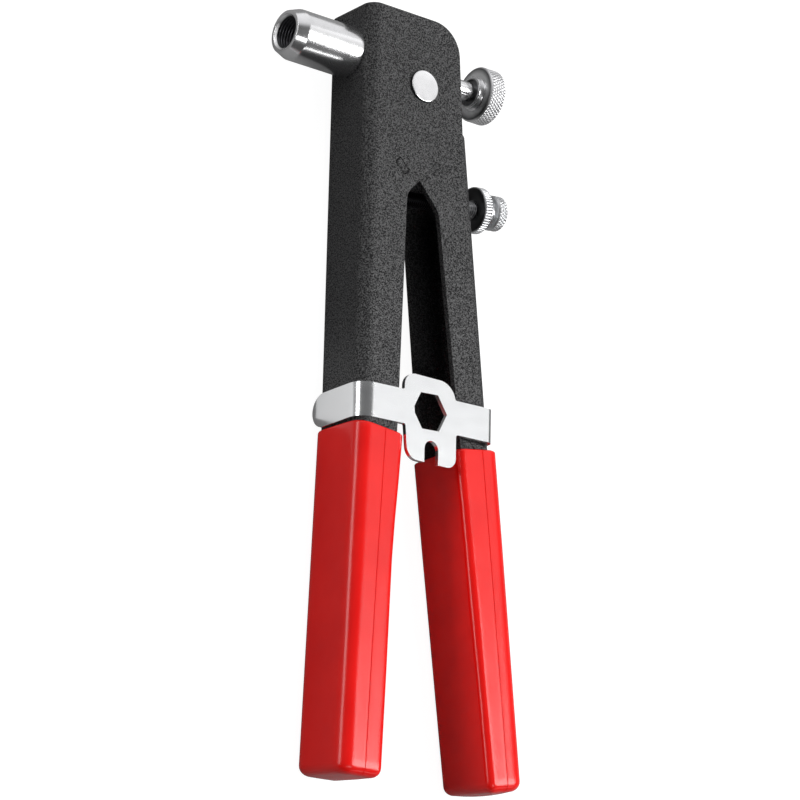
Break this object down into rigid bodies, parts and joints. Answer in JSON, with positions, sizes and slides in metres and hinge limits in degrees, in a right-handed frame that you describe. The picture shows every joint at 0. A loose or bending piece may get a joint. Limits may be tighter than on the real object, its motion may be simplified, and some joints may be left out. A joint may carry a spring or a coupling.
{
  "type": "rivet nut tool",
  "caption": "Hand rivet nut tool: pressed channel frame with a threaded chrome nose, nested rear lever that draws a knurled-knob spindle back, red grips and a wrench clip.",
  "frame": {"origin": "middle of the nose's mouth, on the spindle's axis", "axes": "-X out of the nose, +Y towards the head's top along the handles, +Z out of the side plate that shows the pivot pin's head; the tool lies on its other side"},
  "size_m": [0.089, 0.2373, 0.0244],
  "materials": {
    "powder_coat": "black textured powder coat",
    "chrome": "bright chrome plate",
    "zinc": "bright zinc plate",
    "dark_steel": "plain machined steel",
    "red_grip": "glossy soft moulded plastic",
    "clip_plate": "satin plated sheet"
  },
  "bodies": {
    "frame": {"front_frame": "powder_coat", "nose_sleeve": "chrome", "nose_nut": "zinc", "stop_bar": "powder_coat", "pivot_pin": "chrome", "pivot_clip": "zinc", "front_grip": "red_grip"},
    "lever": {"rear_lever": "powder_coat", "screw_bush": "zinc", "rear_grip": "red_grip"},
    "stop_screw": {"stop_screw": "zinc"},
    "lock_nut": {"lock_nut": "zinc"},
    "draw": {"draw_block": "dark_steel", "trunnion_pins": "dark_steel", "thrust_washers": "zinc"},
    "spindle": {"spindle": "chrome", "spindle_collar": "zinc", "collar_pin": "dark_steel", "spindle_knob": "chrome"},
    "clip": {"wrench_clip": "clip_plate"}
  },
  "joints": [
    {"name": "lever_hinge", "type": "hinge", "parent": "frame", "child": "lever", "pos_m": [0.045, -0.009, 0], "axis": [0, 0, 1], "range_deg": [0, 40]},
    {"name": "draw_slide", "type": "slide", "parent": "frame", "child": "draw", "axis": [-1, 0, 0], "range_m": [0, 0.0063]},
    {"name": "spindle_spin", "type": "hinge", "parent": "draw", "child": "spindle", "pos_m": [0.045, 0, 0], "axis": [1, 0, 0], "continuous": true},
    {"name": "stop_screw_turn", "type": "hinge", "parent": "lever", "child": "stop_screw", "pos_m": [0.04866, -0.0416, 0], "axis": [0.9938, 0.1115, 0], "continuous": true},
    {"name": "lock_nut_turn", "type": "hinge", "parent": "stop_screw", "child": "lock_nut", "pos_m": [0.04866, -0.0416, 0], "axis": [0.9938, 0.1115, 0], "continuous": true},
    {"name": "clip_lift", "type": "slide", "parent": "frame", "child": "clip", "axis": [0, 0, 1], "range_m": [0, 0.03]}
  ],
  "couplings": [
    {"joint": "draw_slide", "follows": "lever_hinge", "m_per_rad": 0.009}
  ]
}
